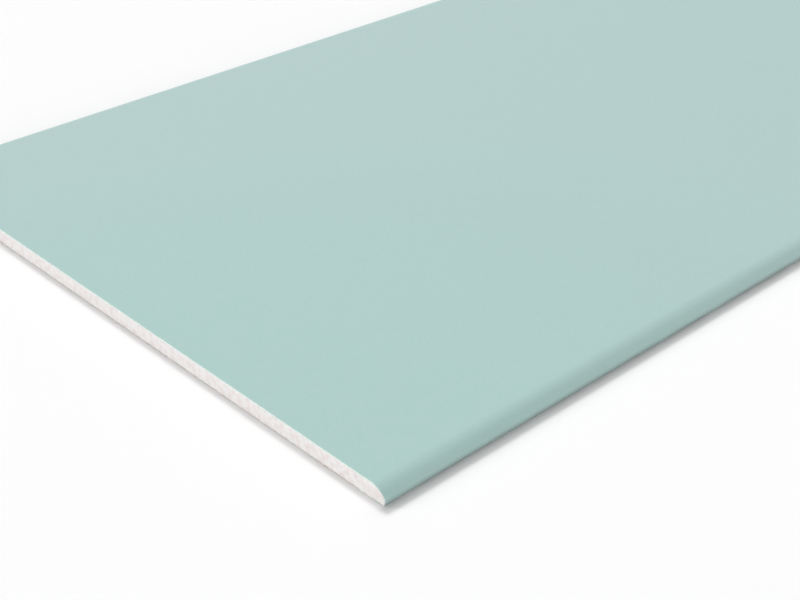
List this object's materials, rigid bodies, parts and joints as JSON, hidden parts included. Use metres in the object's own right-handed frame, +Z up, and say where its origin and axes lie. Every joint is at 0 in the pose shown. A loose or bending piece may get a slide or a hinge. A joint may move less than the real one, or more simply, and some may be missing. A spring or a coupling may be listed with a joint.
{
  "type": "drywall sheet",
  "caption": "Flat rectangular plasterboard sheet: a gypsum core in green face paper wrapped round rounded long edges, with a plain back paper, for lining damp walls and ceilings.",
  "frame": {"origin": "centre of the back of the sheet, on the surface that it lies on", "axes": "+X along the length from one cut end to the other, +Y across the width, +Z up out of the green face"},
  "size_m": [2, 0.6, 0.0125],
  "materials": {
    "gypsum": "matte",
    "green_paper": "matte",
    "back_paper": "matte"
  },
  "bodies": {
    "root": {"gypsum_core": "gypsum", "face_paper": "green_paper", "back_paper": "back_paper"}
  },
  "joints": []
}
